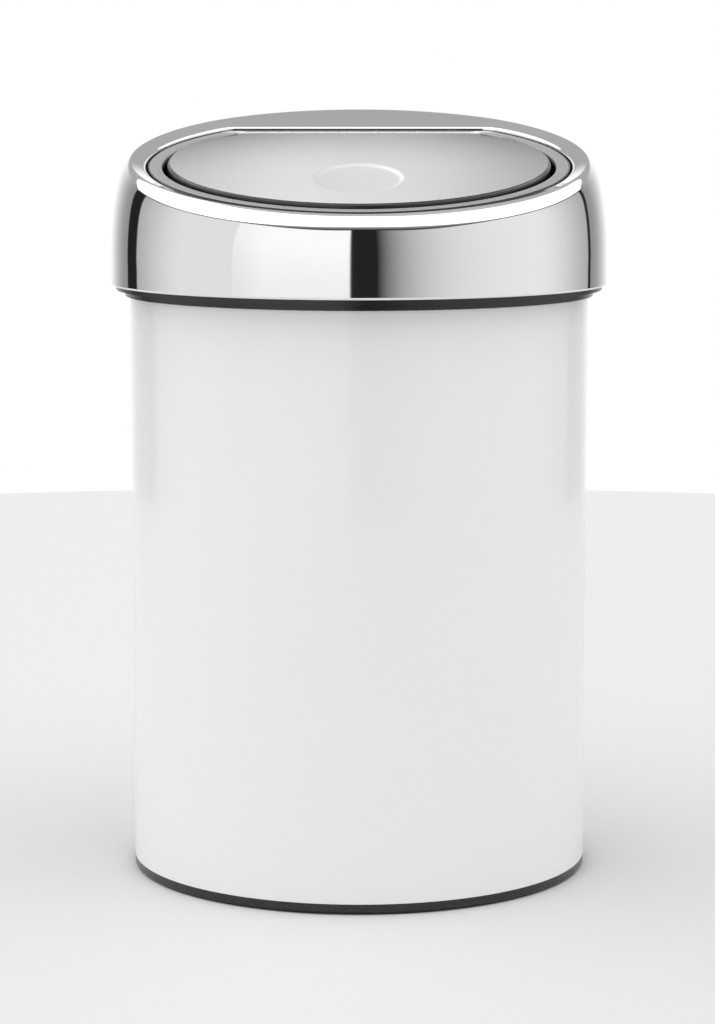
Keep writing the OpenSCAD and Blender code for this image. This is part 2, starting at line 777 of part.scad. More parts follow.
module catch_spring() {
    steps = 8 * catch_turns;
    low = housing_floor + catch_wire / 2 + seat;
    turn_points = [for (i = [0 : steps])
        [
            catch_coil_r * cos(45 * i),
            catch_coil_v + catch_coil_r * sin(45 * i),
            low + catch_pitch() * i / 8
        ]];
    turn_sides = [for (i = [0 : steps]) [cos(45 * i), sin(45 * i), 0]];
    color(spring_steel) on_lid() wire(turn_points, turn_sides, catch_wire / 2);
}

// ---------------------------------------------------------------- hinge

module hinge_pin() {
    color(spring_steel) on_flap() translate([0, hinge_v, hinge_w]) difference() {
        bar_x(pin_d / 2, 2 * hinge_half, 48);
        for (s = [-1, 1]) translate([s * (lug_out_x + lug_w / 2 + 0.2 + clip_t / 2), 0, 0])
            difference() {
                bar_x(pin_d, clip_t);
                bar_x(pin_d / 2 - 0.4, 2 * clip_t);
            }
    }
}

module pin_clips() {
    color(spring_steel) on_flap() translate([0, hinge_v, hinge_w])
        for (s = [-1, 1]) translate([s * (lug_out_x + lug_w / 2 + 0.2 + clip_t / 2), 0, 0])
            difference() {
                bar_x(pin_d / 2 + 1.2, clip_t - seat);
                bar_x(pin_d / 2 - 0.4 + pin_fit / 2, 2 * clip_t);
            }
}

coil_r = pin_d / 2 + coil_wire / 2 + 0.65;
coil_x0 = knuckle_in_x + knuckle_w / 2 + 1;
coil_x1 = knuckle_out_x - knuckle_w / 2 - 1;
function coil_pitch() = min(1.8, (coil_x1 - coil_x0) / coil_turns);

// A coiled spring about the pin, with one leg on the frame and one below the flap
module hinge_spring(side) {
    steps = 8 * coil_turns;
    leg_frame = [-7, beam_top + coil_wire / 2 + 0.1];
    leg_flap = [-12, flap_low - hinge_w - coil_wire / 2 - 0.5];
    x_of = function (i) side * (coil_x0 + coil_pitch() * i / 8);
    turn_points = [for (i = [0 : steps])
        [x_of(i), -coil_r * sin(45 * i), -coil_r * cos(45 * i)]];
    turn_sides = [for (i = [0 : steps]) [0, -sin(45 * i), -cos(45 * i)]];
    points = concat(
        [[x_of(0), leg_flap[0], leg_flap[1]], [x_of(0), leg_flap[0] / 2, leg_flap[1]]],
        turn_points,
        [[x_of(steps), leg_frame[0] / 2, leg_frame[1] + 1], [x_of(steps), leg_frame[0], leg_frame[1]]]
    );
    sides = concat([[0, 0, 1], [0, 0, 1]], turn_sides, [[0, 0, 1], [0, 0, 1]]);
    color(spring_steel) on_flap() translate([0, hinge_v, hinge_w]) wire(points, sides, coil_wire / 2);
}

module hinge_spring_left() {
    hinge_spring(-1);
}

module hinge_spring_right() {
    hinge_spring(1);
}

// ---------------------------------------------------------------- flap

// Half section of the flap, drawn in by inset and cut off at low
module flap_section(inset, low) {
    meet_r = edge_cr * (dome_r - inset) / (dome_r - edge_r);
    intersection() {
        translate([0, dome_z]) circle(r = dome_r - inset, $fn = arc_fn);
        translate([0, low]) square([meet_r, dome_top - low + 1]);
    }
    intersection() {
        translate([edge_cr, edge_cz]) circle(r = edge_r - inset, $fn = 64);
        translate([0, edge_cz - 0.5]) square([flap_r, edge_r + 1]);
    }
    translate([0, low]) square([flap_r - inset, edge_cz - low]);
}

// Solid form of the flap: a dome that a second curve draws down to a round nose
// about the pin
module flap_form(inset, low) {
    nose_v = hinge_v + (nose_r - inset) * back_run / (back_curve_r - nose_r);
    intersection() {
        rotate_extrude() flap_section(inset, low);
        translate([0, back_v, back_z]) bar_x(back_curve_r - inset, reach, arc_fn);
        union() {
            translate([-reach / 2, nose_v - reach, -reach / 2]) cube(reach);
            translate([0, hinge_v, hinge_w]) bar_x(nose_r - inset, reach, 64);
        }
        translate([0, 0, -reach / 2]) linear_extrude(reach) intersection() {
            d_shape(flap_r + 1 - inset, hinge_v + nose_r + 1 - inset, flap_corner);
            union() {
                translate([-reach / 2, notch_v - inset - reach]) square(reach);
                translate([inset - nose_half, -reach / 2]) square([2 * (nose_half - inset), reach]);
            }
        }
    }
}

// Ball that presses the dimple, with the sheet's thickness added below the skin
module dimple_ball(grow) {
    depth = dimple_depth - pow(dimple_d, 2) / (8 * dome_r);
    ball_r = (pow(dimple_d / 2, 2) + depth * depth) / (2 * depth);
    lean = asin(dimple_front / dome_r);
    translate([0, 0, dome_z]) rotate([lean, 0, 0])
        translate([0, 0, dome_r - dimple_depth + ball_r]) sphere(r = ball_r + grow, $fn = 200);
}

module flap_cover() {
    color(satin) on_flap() difference() {
        flap_form(0, flap_low);
        dimple_ball(0);
        difference() {
            flap_form(flap_sheet, flap_low - 1);
            dimple_ball(flap_sheet);
        }
        translate([-reach / 2, hinge_v, hinge_w - reach]) cube(reach);
    }
}

module flap_tray() {
    x_ribs = [for (i = [-2 : 2]) i * rib_pitch];
    color(black) on_flap() difference() {
        union() {
            intersection() {
                difference() {
                    flap_form(tray_inset, flap_low);
                    dimple_ball(tray_inset + 0.2);
                }
                translate([-reach / 2, tray_back - reach, -reach / 2]) cube(reach);
                union() {
                    translate([0, 0, flap_low]) cylinder(r = reach / 2, h = tray_wall);
                    difference() {
                        cylinder(r = reach / 2, h = reach, center = true);
                        translate([0, 0, -reach])
                            cylinder(r = flap_r - tray_shoulder, h = 2 * reach);
                    }
                    translate([-reach / 2, tray_back - tray_wall, -reach / 2]) cube(reach);
                    for (x = x_ribs) translate([x - rib_t / 2, -reach / 2, -reach / 2])
                        cube([rib_t, reach, reach]);
                    for (y = [-2 * rib_pitch, -rib_pitch, 0, rib_pitch])
                        translate([-reach / 2, y - rib_t / 2, -reach / 2]) cube([reach, rib_t, reach]);
                }
            }
            for (x = [-knuckle_out_x, -knuckle_in_x, knuckle_in_x, knuckle_out_x])
                across(x, knuckle_w) {
                    circle(r = lug_r, $fn = small_fn);
                    translate([tray_back - hinge_v - 1, flap_low - hinge_w])
                        square([hinge_v - tray_back + 1, web_top + hinge_w - flap_low]);
                }
            for (x = [-flap_screw_x, flap_screw_x]) translate([x, catch_v, flap_low])
                cylinder(r = boss_r, h = boss_h, $fn = small_fn);
        }
        translate([0, hinge_v, hinge_w]) bar_x(pin_d / 2 + pin_fit, reach / 2, 48);
        for (x = [-flap_screw_x, flap_screw_x]) translate([x, catch_v, flap_low - 1])
            cylinder(d = screw_d, h = boss_h, $fn = small_fn);
    }
}

module flap_striker() {
    foot = slider_seat + seat;
    stem_top = flap_low - catch_v * sin(dome_lean) - plate_t / 2;
    color(silver) difference() {
        union() {
            on_flap() translate([-plate_w / 2, catch_v - plate_len / 2, flap_low - plate_t])
                cube([plate_w, plate_len, plate_t]);
            on_lid() {
                translate([-stem_w / 2, catch_v - stem_len / 2, foot]) cube([stem_w, stem_len, stem_top - foot]);
                translate([-head_w / 2, catch_v - head_len / 2, foot]) cube([head_w, head_len, head_h]);
            }
        }
        on_flap() for (x = [-flap_screw_x, flap_screw_x])
            translate([x, catch_v, flap_low - plate_t - 1])
                cylinder(d = screw_d + 0.4, h = plate_t + 2, $fn = small_fn);
    }
}

module flap_screws() {
    color(spring_steel) on_flap() for (x = [-flap_screw_x, flap_screw_x])
        translate([x, catch_v, flap_low - plate_t]) screw(plate_t + boss_h - 1.5);
}

// ---------------------------------------------------------------- bucket

function bucket_side(z) =
    bucket_r - bucket_taper * (bucket_z1 - z) / (bucket_z1 - bucket_z0);

module inner_bucket() {
    slope = bucket_taper / (bucket_z1 - bucket_z0);
    foot_r = bucket_side(bucket_z0 + bucket_corner);
    inner_corner = bucket_corner - bucket_wall;
    corner = function (r) [for (a = [-90 : 15 : 0])
        [foot_r - bucket_corner + r * cos(a), bucket_z0 + bucket_corner + r * sin(a)]];
    color(bucket_grey) difference() {
        union() {
            rotate_extrude() {
                difference() {
                    polygon(concat([[0, bucket_z0]], corner(bucket_corner),
                        [[bucket_r, bucket_z1], [0, bucket_z1]]));
                    polygon(concat([[0, bucket_z0 + bucket_wall]], corner(inner_corner),
                        [[bucket_r - bucket_wall + slope, bucket_z1 + 1], [0, bucket_z1 + 1]]));
                }
                translate([bucket_r, bucket_z1 - bucket_bead]) circle(r = bucket_bead, $fn = small_fn);
            }
            difference() {
                translate([0, 0, pivot_z]) bar_x(ear_r, 2 * boss_face);
                cylinder(r = bucket_side(pivot_z) - bucket_wall / 2, h = reach);
            }
        }
        translate([0, 0, pivot_z]) bar_x(wire_d / 2 + pin_fit, reach);
    }
}

module bucket_handle() {
    pin_len = handle_r - bucket_side(pivot_z) + bucket_wall + wire_inside;
    color(spring_steel) translate([0, 0, pivot_z]) {
        rotate([0, 0, 180 - bend_over]) rotate_extrude(angle = 180 + 2 * bend_over)
            translate([handle_r, 0]) circle(d = wire_d, $fn = small_fn);
        for (s = [-1, 1]) {
            translate([s * handle_r, 0, 0]) sphere(d = wire_d + bend_swell, $fn = small_fn);
            translate([s * (handle_r - pin_len / 2), 0, 0]) bar_x(wire_d / 2, pin_len);
        }
    }
}

module handle_grip() {
    color(black) translate([0, 0, pivot_z]) rotate([0, 0, 270 - grip_arc / 2])
        rotate_extrude(angle = grip_arc) translate([handle_r, 0]) difference() {
            circle(d = grip_d, $fn = small_fn);
            circle(r = wire_d / 2 + pin_fit / 2, $fn = small_fn);
        }
}

body_shell();
base_plate();
base_ring();
non_slip_ring();
collar_ring();
lid_cap();
lid_bezel();
lid_frame();
frame_screws();
catch_housing();
catch_screws();
catch_slider();
catch_spring();
hinge_pin();
pin_clips();
hinge_spring_left();
hinge_spring_right();
flap_cover();
flap_tray();
flap_striker();
flap_screws();
inner_bucket();
bucket_handle();
handle_grip();
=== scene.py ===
import math

import bmesh
import bpy
from mathutils import Matrix, Vector


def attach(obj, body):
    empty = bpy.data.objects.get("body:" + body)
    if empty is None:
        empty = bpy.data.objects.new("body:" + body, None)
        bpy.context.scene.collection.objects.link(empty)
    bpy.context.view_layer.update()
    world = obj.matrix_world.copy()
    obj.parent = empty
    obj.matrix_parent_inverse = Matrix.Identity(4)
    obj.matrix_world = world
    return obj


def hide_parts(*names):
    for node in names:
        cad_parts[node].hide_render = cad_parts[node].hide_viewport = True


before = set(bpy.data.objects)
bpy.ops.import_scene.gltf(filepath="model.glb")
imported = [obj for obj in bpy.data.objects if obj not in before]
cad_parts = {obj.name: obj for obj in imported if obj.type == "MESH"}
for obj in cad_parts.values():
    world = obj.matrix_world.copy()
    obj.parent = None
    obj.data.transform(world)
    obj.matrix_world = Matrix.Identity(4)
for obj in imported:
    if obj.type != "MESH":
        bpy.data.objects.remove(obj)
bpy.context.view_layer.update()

# Lengths in the dictionaries are millimetres and angles are degrees
mm = 0.001
weldGap = 0.0005  # points of a new mesh closer than this become one
print("frame loaded:", len(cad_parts), "nodes")

# The lid's sloping plane, and the flap's own plane that leans back from it
slopes = {
    "planeHeight": 267.3,  # on the bin's axis
    "lidTilt": 11.4,
    "forward": 2.5,        # how far the opening sits in front of the bin's axis
    "domeLean": 0.7,
}
lidPlace = (Matrix.Translation((0, 0, slopes["planeHeight"]))
            @ Matrix.Rotation(math.radians(slopes["lidTilt"]), 4, "X")
            @ Matrix.Translation((0, -slopes["forward"], 0)))
flapPlace = lidPlace @ Matrix.Rotation(math.radians(-slopes["domeLean"]), 4, "X")


# ---- shapes ----

def newPiece(name, bm, body, replaced=()):
    # puts a mesh that was built in millimetres into the scene, riding on a body
    bmesh.ops.scale(bm, vec=(mm, mm, mm), verts=bm.verts)
    bmesh.ops.recalc_face_normals(bm, faces=bm.faces)
    for face in bm.faces:
        face.smooth = True
    mesh = bpy.data.meshes.new(name)
    bm.to_mesh(mesh)
    bm.free()
    piece = bpy.data.objects.new(name, mesh)
    bpy.context.scene.collection.objects.link(piece)
    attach(piece, body)
    if replaced:
        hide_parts(*replaced)
    return piece


def wrapStations(stations, steps):
    # wraps a grid once round the z axis: each row of it goes where its station says
    last = len(stations) - 1
    bm = bmesh.new()
    bmesh.ops.create_grid(bm, x_segments=steps, y_segments=last, size=0.5)
    for vert in bm.verts:
        station = stations[round((vert.co.y + 0.5) * last)]
        turn = round((vert.co.x + 0.5) * steps) % steps
        vert.co = station(math.tau * turn / steps)
    bmesh.ops.remove_doubles(bm, verts=bm.verts, dist=weldGap)
    return bm


def outlineRadius(angle, radius, back, corner):
    # a circle that a straight line cuts off at the back, with round corners
    behindCorner = back - corner
    acrossCorner = math.sqrt((radius - corner) ** 2 - behindCorner ** 2)
    turned = math.atan2(math.sin(angle), abs(math.cos(angle)))
    if turned < math.atan2(behindCorner, acrossCorner):
        return radius
    if turned > math.atan2(back, acrossCorner):
        return back / math.sin(turned)
    along = math.cos(turned) * acrossCorner + math.sin(turned) * behindCorner
    return along + math.sqrt(along ** 2 - acrossCorner ** 2 - behindCorner ** 2 + corner ** 2)


def quarterRound(radius, steps):
    # a quarter circle: what is left of the way in one direction, and what is gone in the other
    for number in range(steps + 1):
        turn = math.radians(90 * number / steps)
        yield radius * (1 - math.sin(turn)), radius * (1 - math.cos(turn))


def smooth(value):
    held = max(0, min(1, value))
    return held * held * (3 - 2 * held)


def mixed(first, second, share):
    return first + (second - first) * share


# ---- polished cap ----

cap = {
    "radius": 93.6,        # at the widest
    "foot": 221.45,        # height of the lower edge
    "sheet": 0.7,
    "curl": 0.95,          # radius of the curled foot
    "curlFrom": -130,      # where the curl starts, 0 being straight out
    "shoulderIn": 7.9,
    "shoulderDrop": 32,
    "wallDraft": 0.5,
    "crestRise": 1.0,
    "rim": 5.8,            # mean width of the flat rim around the opening
    "panelDepth": 25,      # flat panel behind the flap
    "corner": 10,
    "edgeDepth": 3.8,      # how far the opening's edge turns down
    "edgeRound": 1.4,
    "turnSteps": 720,
    "curlStep": 10,        # turn between the curl's rows
    "wallSteps": 5,
    "shoulderSteps": 30,
    "rimSteps": 10,
    "edgeSteps": 8,
    "insideEvery": 3,      # the inside has one row for this many outside
    "curlInsideFrom": -20,
    "curlInsideStep": 22,
}
crestRadius = cap["radius"] - cap["wallDraft"] - cap["shoulderIn"]
seamRadius = crestRadius - cap["rim"]
seamBack = crestRadius - cap["panelDepth"]
curlHeight = cap["foot"] + cap["curl"]


def crestHeight(angle):
    slope = math.tan(math.radians(slopes["lidTilt"]))
    return slopes["planeHeight"] + cap["crestRise"] + slope * crestRadius * math.sin(angle)


def shoulderRadius(drop):
    rest = 1 - min(drop / cap["shoulderDrop"], 1)
    return crestRadius + cap["shoulderIn"] * math.sqrt(1 - rest ** 2)


def wallPoint(share, inset):
    # share runs from the curl, 0, to the top edge, 1
    def place(angle):
        high = crestHeight(angle) - curlHeight
        radius = shoulderRadius((1 - share) * high)
        radius += (cap["radius"] - shoulderRadius(high)) * (1 - share) ** 2 - inset
        return (radius * math.cos(angle), radius * math.sin(angle),
                curlHeight + share * high - inset * share ** 4)
    return place


def curlPoint(turn, radius):
    def place(angle):
        out = cap["radius"] - cap["curl"] + radius * math.cos(math.radians(turn))
        return (out * math.cos(angle), out * math.sin(angle),
                curlHeight + radius * math.sin(math.radians(turn)))
    return place


def openingPoint(grow, drop):
    # a point of the opening's edge, drop below the sloping plane
    def place(angle):
        radius = outlineRadius(angle, seamRadius + grow, seamBack + grow, cap["corner"] + grow)
        return lidPlace @ Vector((radius * math.cos(angle), radius * math.sin(angle), -drop))
    return place


def rimPoint(share, inset):
    # share runs from the top edge, 0, to the opening, 1
    outer = wallPoint(1, inset)
    inner = openingPoint(cap["edgeRound"], inset)

    def place(angle):
        return Vector(outer(angle)).lerp(Vector(inner(angle)), share)
    return place


def wallShares():
    # the rows of the plain wall, then those of the shoulder, which turn it by equal angles
    ratio = cap["shoulderIn"] / cap["shoulderDrop"]
    meanHeight = slopes["planeHeight"] + cap["crestRise"] - curlHeight
    shoulder = []
    for number in range(cap["shoulderSteps"]):
        lift = math.radians(90 * number / cap["shoulderSteps"])
        side = math.atan2(ratio * math.cos(lift), math.sin(lift))
        shoulder.append(1 - cap["shoulderDrop"] * (1 - math.cos(side)) / meanHeight)
    plain = [shoulder[0] * number / cap["wallSteps"] for number in range(cap["wallSteps"])]
    return plain + shoulder


def makeCap():
    sheet = cap["sheet"]
    shares = wallShares()
    outsideTurns = range(cap["curlFrom"], 0, cap["curlStep"])
    insideTurns = range(cap["curlInsideFrom"], cap["curlFrom"] - 1, -cap["curlInsideStep"])
    stations = [curlPoint(turn, cap["curl"]) for turn in outsideTurns]
    stations += [wallPoint(share, 0) for share in shares]
    stations += [rimPoint(number / cap["rimSteps"], 0) for number in range(cap["rimSteps"])]
    stations += [openingPoint(*point) for point in quarterRound(cap["edgeRound"], cap["edgeSteps"])]
    stations.append(openingPoint(0, cap["edgeDepth"]))
    stations.append(openingPoint(sheet, cap["edgeDepth"]))
    stations.append(openingPoint(sheet, cap["edgeRound"]))
    stations += [rimPoint(share, sheet) for share in (1, 0.5, 0)]
    stations += [wallPoint(share, sheet) for share in reversed(shares[::cap["insideEvery"]])]
    stations += [curlPoint(turn, cap["curl"] - sheet) for turn in insideTurns]
    stations.append(stations[0])
    bm = wrapStations(stations, cap["turnSteps"])
    return newPiece("capSheet", bm, "lid_unit", ["lid_cap"])


# ---- silver ring ----

ring = {
    "gap": 0.7,            # dark gap between the cap and the ring
    "proud": 0.2,          # how far the ring stands above the cap's edge in front
    "sunk": 1.4,           # how far it lies below the edge at the back
    "shadeBand": 0.45,          # width of the black band around the ring, which paints the shade in the gap between the cap and the ring
    "shadeBandDepth": 3,
    "shadeBandBevel": 0.12,
    "shadeBandDish": 0.05,      # how far the band's top falls towards the ring
    "shadeBandRoom": 0.03,      # room between the band and the ring
    "width": 5.9,
    "thick": 3.9,
    "outerEdge": 0.15,     # radius of the outer edge
    "innerEdge": 0.9,      # size of the softened inner edge
    "innerCorner": 0.8,
    "stripTop": 0.4,       # flat width left behind the sloped strip
    "stripFoot": 2.3,
    "turnSteps": 720,
    "outerSteps": 4,
    "innerSteps": 6,
}
ringRadius = seamRadius - ring["gap"]
ringBack = seamBack - ring["gap"]
ringInner = seamRadius - ring["width"]


def ringPoint(radius, back, corner, drop):
    def place(angle):
        out = outlineRadius(angle, radius, back, corner)
        y = out * math.sin(angle)
        share = smooth((y + ringRadius) / (ringRadius + ringBack))
        sunk = mixed(-ring["proud"], ring["sunk"], share)
        height = -drop - sunk * (1 - drop / ring["thick"])
        return lidPlace @ Vector((out * math.cos(angle), y, height))
    return place


def innerRingPoint(out, drop):
    # the strip behind the flap slopes forward as it goes down
    run = (ring["stripFoot"] - ring["stripTop"]) * drop / ring["thick"]
    back = ringBack - ring["stripTop"] - run
    return ringPoint(ringInner + out, back, ring["innerCorner"], drop)


def outerRingPoint(inset, drop):
    corner = cap["corner"] - ring["gap"]
    return ringPoint(ringRadius - inset, ringBack - inset, corner - inset, drop)


def makeGapShade():
    # a black band round the ring: painted shade of the gap between the cap and the ring
    width = ring["shadeBand"]
    deep = ring["shadeBandDepth"]
    bevel = ring["shadeBandBevel"]
    points = [(0, deep), (0, bevel), (bevel, 0), (width, ring["shadeBandDish"]), (width, deep), (0, deep)]
    bm = wrapStations([outerRingPoint(*point) for point in points], ring["turnSteps"])
    return newPiece("gapShade", bm, "lid_unit")


def makeRing():
    start = ring["shadeBand"] + ring["shadeBandRoom"]
    stations = [outerRingPoint(start, ring["thick"])]
    for drop, inset in quarterRound(ring["outerEdge"], ring["outerSteps"]):
        stations.append(outerRingPoint(start + inset, drop))
    for out, drop in quarterRound(ring["innerEdge"], ring["innerSteps"]):
        stations.append(innerRingPoint(out, drop))
    stations.append(innerRingPoint(0, ring["thick"]))
    stations.append(stations[0])
    bm = wrapStations(stations, ring["turnSteps"])
    return newPiece("ringBody", bm, "lid_unit", ["lid_bezel"])


# ---- domed flap ----

flap = {
    "radius": 71.6,
    "domeRadius": 430,
    "domeTop": 6.3,
    "backCurve": 300,      # radius of the curve that draws the dome down at the back
    "backRise": 0.55,      # its height over the pin
    "backFrom": -15,       # where it is highest
    "blend": 0.6,          # softness of the meeting of the two curves
    "edge": 1.6,           # radius of the rolled edge
    "edgeLean": 9.4,       # slope of the dome where the rolled edge meets it
    "nose": 7,             # radius of the round back edge, about the pin
    "noseLean": 12.5,
    "noseHalf": 52,        # half width of the round back edge
    "noseLip": 0.1,        # how far its foot lies below the pin's axis
    "noseFrom": 42,        # how far back the rolled edge starts to turn into it
    "noseSoft": 10,        # the length over which it does so
    "hingeBehind": 49.4,
    "corner": 5,
    "notch": 41.8,         # where the notched rear corners start
    "rim": 4.6,
    "sheet": 0.6,
    "dimple": 31,
    "dimpleDepth": 1.3,
    "dimpleHollow": 0.55,  # share of its depth that the dimple loses from middle to rim
    "dimpleFront": 43.5,
    "dimpleLip": 1.1,      # width of the soft lip on each side
    "blackTo": 0.88,       # share of the roll, from below, that is black
    "blackLess": 0.7,      # share of the black that goes at the back
    "turnSteps": 432,
    "rollSteps": 12,
    "blackSteps": 6,
    "domeSteps": 76,
    "settle": 1 / 12,      # share of the way in over which the edge settles into the dome
}
domeCentre = flap["domeTop"] - flap["domeRadius"]
backRun = flap["hingeBehind"] - flap["backFrom"]
backCentre = flap["backRise"] - math.sqrt(flap["backCurve"] ** 2 - backRun ** 2)
hingeHeight = backCentre + math.sqrt((flap["backCurve"] - flap["nose"]) ** 2 - backRun ** 2)
edgeAcross = flap["radius"] - flap["edge"]
edgeHeight = domeCentre + math.sqrt((flap["domeRadius"] - flap["edge"]) ** 2 - edgeAcross ** 2)


def dimpleDrop(x, y):
    # how far the dimple lies below the dome, with a soft lip at its edge
    out = math.hypot(x, y + flap["dimpleFront"])
    half = flap["dimple"] / 2
    lip = flap["dimpleLip"]
    bowl = flap["dimpleDepth"] * (1 - flap["dimpleHollow"] * min(out / half, 1) ** 2)
    return bowl * (1 - smooth((out - half + lip) / (2 * lip)))


def domeHeight(x, y):
    # the lower of the dome and the back curve, with a soft meeting
    dome = domeCentre + math.sqrt(flap["domeRadius"] ** 2 - x * x - y * y)
    back = backCentre + math.sqrt(flap["backCurve"] ** 2 - (y - flap["backFrom"]) ** 2)
    near = max(1 - abs(dome - back) / flap["blend"], 0)
    return min(dome, back) - near * near * flap["blend"] / 4


def backShare(angle):
    # 1 along the straight back edge, 0 along the round front
    return smooth((math.sin(angle) * flap["radius"] - flap["noseFrom"]) / flap["noseSoft"])


def flapOutline(angle):
    back = flap["hingeBehind"] + flap["nose"]
    radius = outlineRadius(angle, flap["radius"], back, flap["corner"])
    across = abs(radius * math.cos(angle))
    behind = radius * math.sin(angle)
    if across <= flap["noseHalf"] or behind <= flap["notch"]:
        return radius
    # the rear corners are notched, clear of the ring
    return radius * max(flap["noseHalf"] / across, flap["notch"] / behind)


def rollPoint(share, angle):
    # share runs from the rim's side, 0, over the rolled edge to the dome, 1
    mix = backShare(angle)
    roll = mixed(flap["edge"], flap["nose"], mix)
    turn = math.radians(90 - mixed(flap["edgeLean"], flap["noseLean"], mix)) * share
    out = flapOutline(angle) - roll * (1 - math.cos(turn))
    x, y = out * math.cos(angle), out * math.sin(angle)
    rolled = mixed(edgeHeight, hingeHeight, mix) + roll * math.sin(turn)
    return flapPlace @ Vector((x, y, min(rolled, domeHeight(x, y))))


def rimSidePoint(share):
    # the straight rim below the rolled edge, share 0 at its lower edge
    def place(angle):
        mix = backShare(angle)
        low = mixed(edgeHeight - flap["rim"], hingeHeight - flap["noseLip"], mix)
        height = mixed(low, mixed(edgeHeight, hingeHeight, mix), share)
        out = flapOutline(angle)
        return flapPlace @ Vector((out * math.cos(angle), out * math.sin(angle), height))
    return place


def blackShare(angle):
    return flap["blackTo"] * (1 - flap["blackLess"] * backShare(angle))


def blackRollPoint(share):
    return lambda angle: rollPoint(blackShare(angle) * share, angle)


def steelRollPoint(share):
    return lambda angle: rollPoint(mixed(blackShare(angle), 1, share), angle)


def domePoint(share):
    # share runs from the rolled edge, 0, to the middle of the dome, 1
    def place(angle):
        edge = flapPlace.inverted() @ rollPoint(1, angle)
        x, y = edge.x * (1 - share), edge.y * (1 - share)
        unsettled = (edge.z - domeHeight(edge.x, edge.y)) * (1 - smooth(share / flap["settle"]))
        return flapPlace @ Vector((x, y, domeHeight(x, y) + unsettled - dimpleDrop(x, y)))
    return place


def flapShell(stations):
    bm = wrapStations(stations, flap["turnSteps"])
    bmesh.ops.recalc_face_normals(bm, faces=bm.faces)
    bmesh.ops.solidify(bm, geom=bm.faces[:], thickness=flap["sheet"])
    return bm


def makeFlap():
    rollSteps = flap["rollSteps"]
    domeSteps = flap["domeSteps"]
    stations = [steelRollPoint(number / rollSteps) for number in range(rollSteps)]
    stations += [domePoint(number / domeSteps) for number in range(domeSteps + 1)]
    return newPiece("flapSheet", flapShell(stations), "flap", ["flap_cover"])


def makeFlapEdge():
    # a black edge that shows below the steel around the flap, over the lower part of its rolled edge
    steps = flap["blackSteps"]
    stations = [rimSidePoint(share) for share in (0, 0.5)]
    stations += [blackRollPoint(number / steps) for number in range(steps + 1)]
    return newPiece("flapEdge", flapShell(stations), "flap")


capSheet = makeCap()
print("cap made:", len(capSheet.data.polygons), "faces")
ringBody = makeRing()
gapShade = makeGapShade()
print("ring made:", len(ringBody.data.polygons), "and", len(gapShade.data.polygons), "faces")
flapSheet = makeFlap()
flapEdge = makeFlapEdge()
print("flap made:", len(flapSheet.data.polygons), "and", len(flapEdge.data.polygons), "faces")


# ---- materials ----

class Value:
    # a number on a node's socket, so that sums on it add Math nodes

    def __init__(self, paint, link):
        self.paint = paint
        self.link = link

    def __add__(self, other):
        return self.paint.sum("ADD", self, other)

    def __radd__(self, other):
        return self.paint.sum("ADD", other, self)

    def __sub__(self, other):
        return self.paint.sum("SUBTRACT", self, other)

    def __rsub__(self, other):
        return self.paint.sum("SUBTRACT", other, self)

    def __mul__(self, other):
        return self.paint.sum("MULTIPLY", self, other)

    def __rmul__(self, other):
        return self.paint.sum("MULTIPLY", other, self)

    def __truediv__(self, other):
        return self.paint.sum("DIVIDE", self, other)


def socketOf(node, name):
    # an input by its name, or by its number after a low line
    if name[0] == "_":
        return node.inputs[int(name[1:])]
    wanted = name.replace("_", " ").lower()
    return next(socket for socket in node.inputs
                if socket.enabled and socket.name.lower() == wanted)


class Paint:
    # one material or world and its nodes

    def __init__(self, holder):
        self.holder = holder
        holder.use_nodes = True
        self.tree = holder.node_tree
        self.tree.nodes.clear()

    def add(self, kind, settings=None, **inputs):
        node = self.tree.nodes.new(kind)
        for name, value in (settings or {}).items():
            setattr(node, name, value)
        for name, value in inputs.items():
            socket = socketOf(node, name)
            if isinstance(value, Value):
                self.tree.links.new(value.link, socket)
            else:
                socket.default_value = value
        return node

    def value(self, kind, settings=None, output=0, **inputs):
        return Value(self, self.add(kind, settings, **inputs).outputs[output])

    def sum(self, operation, first, second=0.0):
        return self.value("ShaderNodeMath", {"operation": operation}, _0=first, _1=second)

    def axes(self, vector):
        return [self.value("ShaderNodeSeparateXYZ", output=axis, vector=vector)
                for axis in range(3)]

    def place(self, scale=(1, 1, 1)):
        spot = self.value("ShaderNodeTexCoord", output="Object")
        return self.value("ShaderNodeMapping", vector=spot, scale=scale)

    def noise(self, size, detail=2.0, roughness=0.5, stretch=(1, 1, 1)):
        # size is the width of one grain in millimetres
        scale = tuple(one / (size * mm) for one in stretch)
        return self.value("ShaderNodeTexNoise", vector=self.place(scale), scale=1.0,
                          detail=detail, roughness=roughness)

    def rise(self, value, middle, width):
        # goes softly from 0 to 1 as the value passes the middle
        return self.value("ShaderNodeMapRange", {"interpolation_type": "SMOOTHSTEP"},
                          value=value, _1=middle - width / 2, _2=middle + width / 2,
                          _3=0.0, _4=1.0)

    def spread(self, value, low, high):
        # takes a noise value to the range from low to high
        return self.value("ShaderNodeMapRange", value=value, _1=0.25, _2=0.75, _3=low, _4=high)

    def grey(self, level):
        return self.value("ShaderNodeCombineColor", _0=level, _1=level, _2=level)

    def mixColour(self, share, first, second):
        return self.value("ShaderNodeMix", {"data_type": "RGBA"}, output="Result",
                          factor=share, a=first, b=second)

    def bump(self, height, strength, depth):
        return self.value("ShaderNodeBump", height=height, strength=strength, distance=depth * mm)

    def surface(self, **inputs):
        shader = self.add("ShaderNodeBsdfPrincipled", **inputs)
        output = self.add("ShaderNodeOutputMaterial")
        self.tree.links.new(shader.outputs[0], output.inputs[0])
        return self.holder


def plainGrey(level):
    return (level, level, level, 1)


